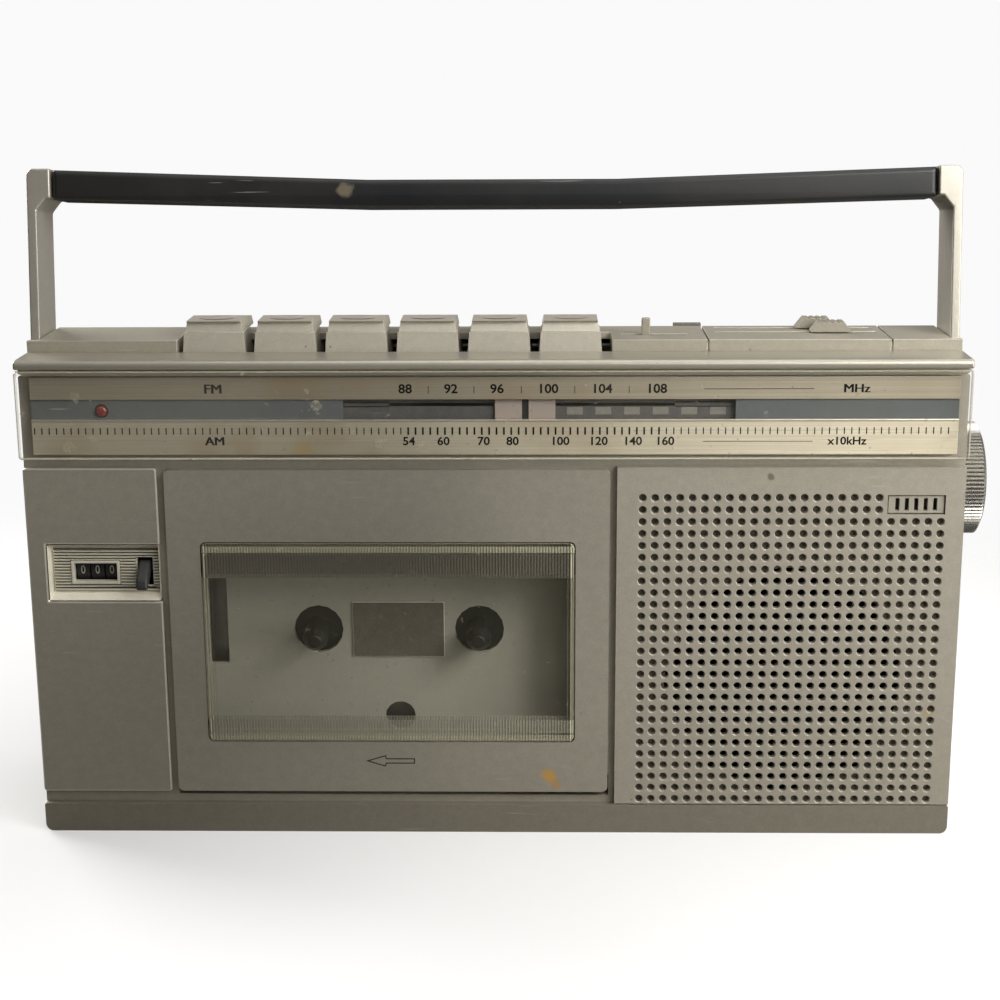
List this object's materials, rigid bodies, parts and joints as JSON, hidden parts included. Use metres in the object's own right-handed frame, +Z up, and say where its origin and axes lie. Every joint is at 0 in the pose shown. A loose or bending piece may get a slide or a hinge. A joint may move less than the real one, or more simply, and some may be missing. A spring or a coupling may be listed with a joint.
{
  "type": "portable radio cassette recorder",
  "caption": "Slim silver AM/FM radio cassette recorder with front-loading tape door, round-hole speaker grille, piano keys, side tuning knob and swinging carry handle.",
  "frame": {"origin": "centre of the cabinet's flat underside, which rests on the table", "axes": "+X to the right seen from the front, +Y to the back, +Z up"},
  "size_m": [0.2426, 0.0596, 0.1706],
  "materials": {
    "silver_paint": "silver metallic paint on moulded plastic",
    "rim_metal": "polished silver trim",
    "light_plastic": "warm light grey moulded plastic",
    "key_silver": "satin silver paint on moulded plastic",
    "clear_lens": "clear acrylic, slightly yellowed",
    "dial_champagne": "brushed champagne foil",
    "pointer_cream": "cream plastic",
    "led_red": "red lens",
    "knob_metal": "bright ridged metal finish",
    "handle_silver": "satin silver",
    "grip_black": "semi-gloss black plastic",
    "black_plastic": "matt black plastic",
    "grey_plastic": "dark grey plastic",
    "steel": "plain steel",
    "brass_metal": "turned brass",
    "chrome_tube": "bright plated tube",
    "rubber_black": "black rubber",
    "board": "phenolic board",
    "cone_paper": "dark pressed paper"
  },
  "bodies": {
    "cabinet": {"front_cabinet": "silver_paint", "rear_cabinet": "silver_paint", "top_rim": "rim_metal", "top_deck": "silver_paint", "counter_panel": "silver_paint", "speaker_grille": "silver_paint", "mic_plate": "light_plastic", "microphone": "steel", "dial_lens": "clear_lens", "dial_scale": "dial_champagne", "record_led": "led_red", "tuning_capacitor": "light_plastic", "slider_board": "board", "key_shaft": "steel", "door_hinge_rod": "steel", "cassette_bay": "light_plastic", "mechanism_chassis": "steel", "motor": "steel", "drive_belt": "rubber_black", "counter_frame": "light_plastic", "speaker_basket": "steel", "speaker_cone": "cone_paper", "circuit_board": "board", "jack_block": "black_plastic", "aerial_bracket": "steel"},
    "door": {"cassette_door": "silver_paint", "door_window": "clear_lens", "cassette_holder": "grey_plastic"},
    "tuning": {"tuning_knob": "knob_metal", "tuning_shaft": "steel"},
    "pointer": {"dial_pointer": "pointer_cream"},
    "function_switch": {"function_lever": "light_plastic"},
    "volume": {"volume_slider": "key_silver"},
    "tone": {"tone_slider": "key_silver"},
    "takeup": {"takeup_spindle": "black_plastic"},
    "supply": {"supply_spindle": "black_plastic"},
    "flywheel_body": {"flywheel": "brass_metal"},
    "motor_rotor": {"motor_pulley": "brass_metal"},
    "head_carriage": {"head_bridge": "steel", "record_play_head": "chrome_tube", "erase_head": "black_plastic"},
    "pinch": {"pinch_arm": "steel"},
    "roller": {"pinch_roller": "rubber_black"},
    "counter_units": {"counter_wheel_units": "black_plastic"},
    "counter_tens": {"counter_wheel_tens": "black_plastic"},
    "counter_hundreds": {"counter_wheel_hundreds": "black_plastic"},
    "reset": {"reset_lever": "grey_plastic"},
    "battery_cover": {"battery_door": "silver_paint"},
    "handle": {"handle_arm_left": "handle_silver", "handle_arm_right": "handle_silver", "handle_grip": "grip_black"},
    "aerial": {"aerial_mast": "chrome_tube"},
    "aerial_second": {"aerial_middle": "chrome_tube"},
    "aerial_end": {"aerial_tip": "chrome_tube"},
    "key_pause_body": {"key_pause": "key_silver"},
    "key_stop_eject_body": {"key_stop_eject": "key_silver"},
    "key_fast_forward_body": {"key_fast_forward": "key_silver"},
    "key_rewind_body": {"key_rewind": "key_silver"},
    "key_play_body": {"key_play": "key_silver"},
    "key_record_body": {"key_record": "key_silver"}
  },
  "joints": [
    {"name": "door_hinge", "type": "hinge", "parent": "cabinet", "child": "door", "pos_m": [0, -0.0248, 0.013], "axis": [1, 0, 0], "range_deg": [0, 35]},
    {"name": "tuning_turn", "type": "hinge", "parent": "cabinet", "child": "tuning", "pos_m": [0.118, -0.009, 0.091], "axis": [1, 0, 0], "range_deg": [-174, 190]},
    {"name": "pointer_slide", "type": "slide", "parent": "cabinet", "child": "pointer", "axis": [1, 0, 0], "range_m": [-0.0306, 0.0334]},
    {"name": "function_slide", "type": "slide", "parent": "cabinet", "child": "function_switch", "axis": [1, 0, 0], "range_m": [-0.0045, 0.0088]},
    {"name": "volume_slide", "type": "slide", "parent": "cabinet", "child": "volume", "axis": [1, 0, 0], "range_m": [-0.0245, 0.008]},
    {"name": "tone_slide", "type": "slide", "parent": "cabinet", "child": "tone", "axis": [1, 0, 0], "range_m": [-0.0215, 0.011]},
    {"name": "takeup_spin", "type": "hinge", "parent": "cabinet", "child": "takeup", "pos_m": [-0.0465, -0.012, 0.0505], "axis": [0, 1, 0], "continuous": true},
    {"name": "supply_spin", "type": "hinge", "parent": "cabinet", "child": "supply", "pos_m": [-0.004, -0.012, 0.0505], "axis": [0, 1, 0], "continuous": true},
    {"name": "flywheel_spin", "type": "hinge", "parent": "cabinet", "child": "flywheel_body", "pos_m": [-0.0482, 0, 0.079], "axis": [0, 1, 0], "continuous": true},
    {"name": "motor_spin", "type": "hinge", "parent": "cabinet", "child": "motor_rotor", "pos_m": [0.01, 0, 0.082], "axis": [0, 1, 0], "continuous": true},
    {"name": "head_carriage_slide", "type": "slide", "parent": "cabinet", "child": "head_carriage", "axis": [0, 0, -1], "range_m": [0, 0.0042]},
    {"name": "pinch_arm_swing", "type": "hinge", "parent": "cabinet", "child": "pinch", "pos_m": [-0.0622, -0.0111, 0.09], "axis": [0, 1, 0], "range_deg": [0, 12.2]},
    {"name": "pinch_roller_spin", "type": "hinge", "parent": "pinch", "child": "roller", "pos_m": [-0.0482, -0.018, 0.0893], "axis": [0, 1, 0], "continuous": true},
    {"name": "counter_units_spin", "type": "hinge", "parent": "cabinet", "child": "counter_units", "pos_m": [-0.0977, -0.0176, 0.0702], "axis": [1, 0, 0], "continuous": true},
    {"name": "counter_tens_spin", "type": "hinge", "parent": "cabinet", "child": "counter_tens", "pos_m": [-0.1014, -0.0176, 0.0702], "axis": [1, 0, 0], "continuous": true},
    {"name": "counter_hundreds_spin", "type": "hinge", "parent": "cabinet", "child": "counter_hundreds", "pos_m": [-0.1051, -0.0176, 0.0702], "axis": [1, 0, 0], "continuous": true},
    {"name": "reset_press", "type": "hinge", "parent": "cabinet", "child": "reset", "pos_m": [-0.0887, -0.0215, 0.0718], "axis": [1, 0, 0], "range_deg": [0, 12], "stiffness_Nm_per_rad": 0.02, "springref_deg": -8.59},
    {"name": "battery_door_hinge", "type": "hinge", "parent": "cabinet", "child": "battery_cover", "pos_m": [0, 0.0271, 0.0103], "axis": [-1, 0, 0], "range_deg": [0, 80]},
    {"name": "handle_swing", "type": "hinge", "parent": "cabinet", "child": "handle", "pos_m": [0, -0.006, 0.113], "axis": [-1, 0, 0], "range_deg": [-3, 87]},
    {"name": "aerial_tilt", "type": "hinge", "parent": "cabinet", "child": "aerial", "pos_m": [-0.104, 0.0145, 0.1236], "axis": [0, -1, 0], "range_deg": [0, 90]},
    {"name": "aerial_middle_slide", "type": "slide", "parent": "aerial", "child": "aerial_second", "axis": [1, 0, 0], "range_m": [0, 0.12]},
    {"name": "aerial_tip_slide", "type": "slide", "parent": "aerial_second", "child": "aerial_end", "axis": [1, 0, 0], "range_m": [0, 0.12]},
    {"name": "key_pause_press", "type": "hinge", "parent": "cabinet", "child": "key_pause_body", "pos_m": [-0.0705, 0.0024, 0.124], "axis": [1, 0, 0], "range_deg": [0, 10.5], "stiffness_Nm_per_rad": 0.25, "springref_deg": -8.59},
    {"name": "key_stop_eject_press", "type": "hinge", "parent": "cabinet", "child": "key_stop_eject_body", "pos_m": [-0.05245, 0.0024, 0.124], "axis": [1, 0, 0], "range_deg": [0, 10.5], "stiffness_Nm_per_rad": 0.25, "springref_deg": -8.59},
    {"name": "key_fast_forward_press", "type": "hinge", "parent": "cabinet", "child": "key_fast_forward_body", "pos_m": [-0.0344, 0.0024, 0.124], "axis": [1, 0, 0], "range_deg": [0, 10.5], "stiffness_Nm_per_rad": 0.25, "springref_deg": -8.59},
    {"name": "key_rewind_press", "type": "hinge", "parent": "cabinet", "child": "key_rewind_body", "pos_m": [-0.01635, 0.0024, 0.124], "axis": [1, 0, 0], "range_deg": [0, 10.5], "stiffness_Nm_per_rad": 0.25, "springref_deg": -8.59},
    {"name": "key_play_press", "type": "hinge", "parent": "cabinet", "child": "key_play_body", "pos_m": [0.0017, 0.0024, 0.124], "axis": [1, 0, 0], "range_deg": [0, 10.5], "stiffness_Nm_per_rad": 0.25, "springref_deg": -8.59},
    {"name": "key_record_press", "type": "hinge", "parent": "cabinet", "child": "key_record_body", "pos_m": [0.01975, 0.0024, 0.124], "axis": [1, 0, 0], "range_deg": [0, 10.5], "stiffness_Nm_per_rad": 0.25, "springref_deg": -8.59}
  ],
  "couplings": [
    {"joint": "pointer_slide", "follows": "tuning_turn", "m_per_rad": 0.01},
    {"joint": "motor_spin", "follows": "flywheel_spin", "ratio": 4.3},
    {"joint": "counter_units_spin", "follows": "takeup_spin", "ratio": 0.05},
    {"joint": "counter_tens_spin", "follows": "takeup_spin", "ratio": 0.005},
    {"joint": "counter_hundreds_spin", "follows": "takeup_spin", "ratio": 0.0005},
    {"joint": "head_carriage_slide", "follows": "key_play_press", "m_per_rad": 0.0218},
    {"joint": "pinch_arm_swing", "follows": "key_play_press", "ratio": 1.15}
  ]
}
